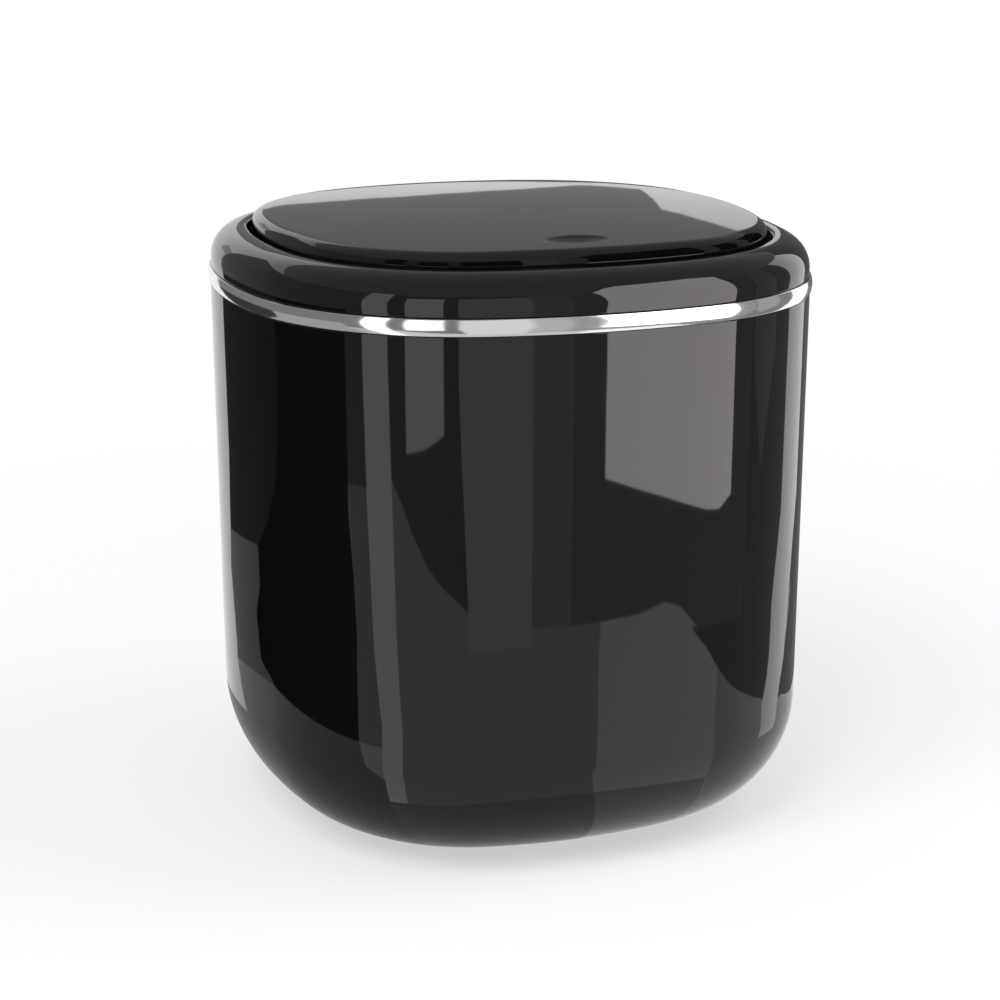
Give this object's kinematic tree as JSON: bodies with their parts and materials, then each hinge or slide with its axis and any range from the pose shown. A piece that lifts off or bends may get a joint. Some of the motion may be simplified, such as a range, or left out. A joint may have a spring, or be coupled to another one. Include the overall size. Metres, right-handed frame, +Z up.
{
  "type": "desktop waste bin",
  "caption": "Small rounded-square desktop waste bin with a glossy barrel, a bright band at the seam, a lift-off collar and a hinged press-to-open lid.",
  "frame": {"origin": "on the table under the middle of the bin, in the plane of the feet's undersides", "axes": "+Z up, -Y towards the front, where the thumb dimple and the latch are, and +Y towards the hinge"},
  "size_m": [0.135, 0.135, 0.14],
  "materials": {
    "gloss_black": "gloss",
    "bright_trim": "polished",
    "satin_black": "satin",
    "latch_plastic": "satin",
    "foot_rubber": "matte",
    "pin_steel": "ground",
    "spring_steel": "drawn wire",
    "screw_steel": "zinc plated"
  },
  "bodies": {
    "bin": {"barrel": "gloss_black", "foot_rear_right": "foot_rubber", "foot_rear_left": "foot_rubber", "foot_front_left": "foot_rubber", "foot_front_right": "foot_rubber"},
    "collar": {"collar": "gloss_black", "chrome_band": "bright_trim", "inner_frame": "satin_black", "frame_screws": "screw_steel", "hinge_pin": "pin_steel", "lid_spring_right": "spring_steel", "lid_spring_left": "spring_steel", "latch_housing": "latch_plastic", "latch_screws": "screw_steel", "lid_bumper_right": "foot_rubber", "lid_bumper_left": "foot_rubber"},
    "lid": {"lid_panel": "gloss_black", "lid_liner": "satin_black", "latch_tongue": "latch_plastic", "tongue_screws": "screw_steel", "liner_screws": "screw_steel"},
    "latch_follower": {"latch_wire": "spring_steel"}
  },
  "joints": [
    {"name": "collar_lift", "type": "slide", "parent": "bin", "child": "collar", "axis": [0, 0, 1], "range_m": [0, 0.06]},
    {"name": "lid_hinge", "type": "hinge", "parent": "collar", "child": "lid", "pos_m": [0, 0.05, 0.135], "axis": [-1, 0, 0], "range_deg": [-1, 77], "deforming": ["lid_spring_right", "lid_spring_left", "latch_wire"]},
    {"name": "latch_swing", "type": "hinge", "parent": "collar", "child": "latch_follower", "pos_m": [0, -0.0557, 0.1125], "axis": [0, 1, 0], "range_deg": [-18, 18], "stiffness_Nm_per_rad": 0.0005}
  ]
}
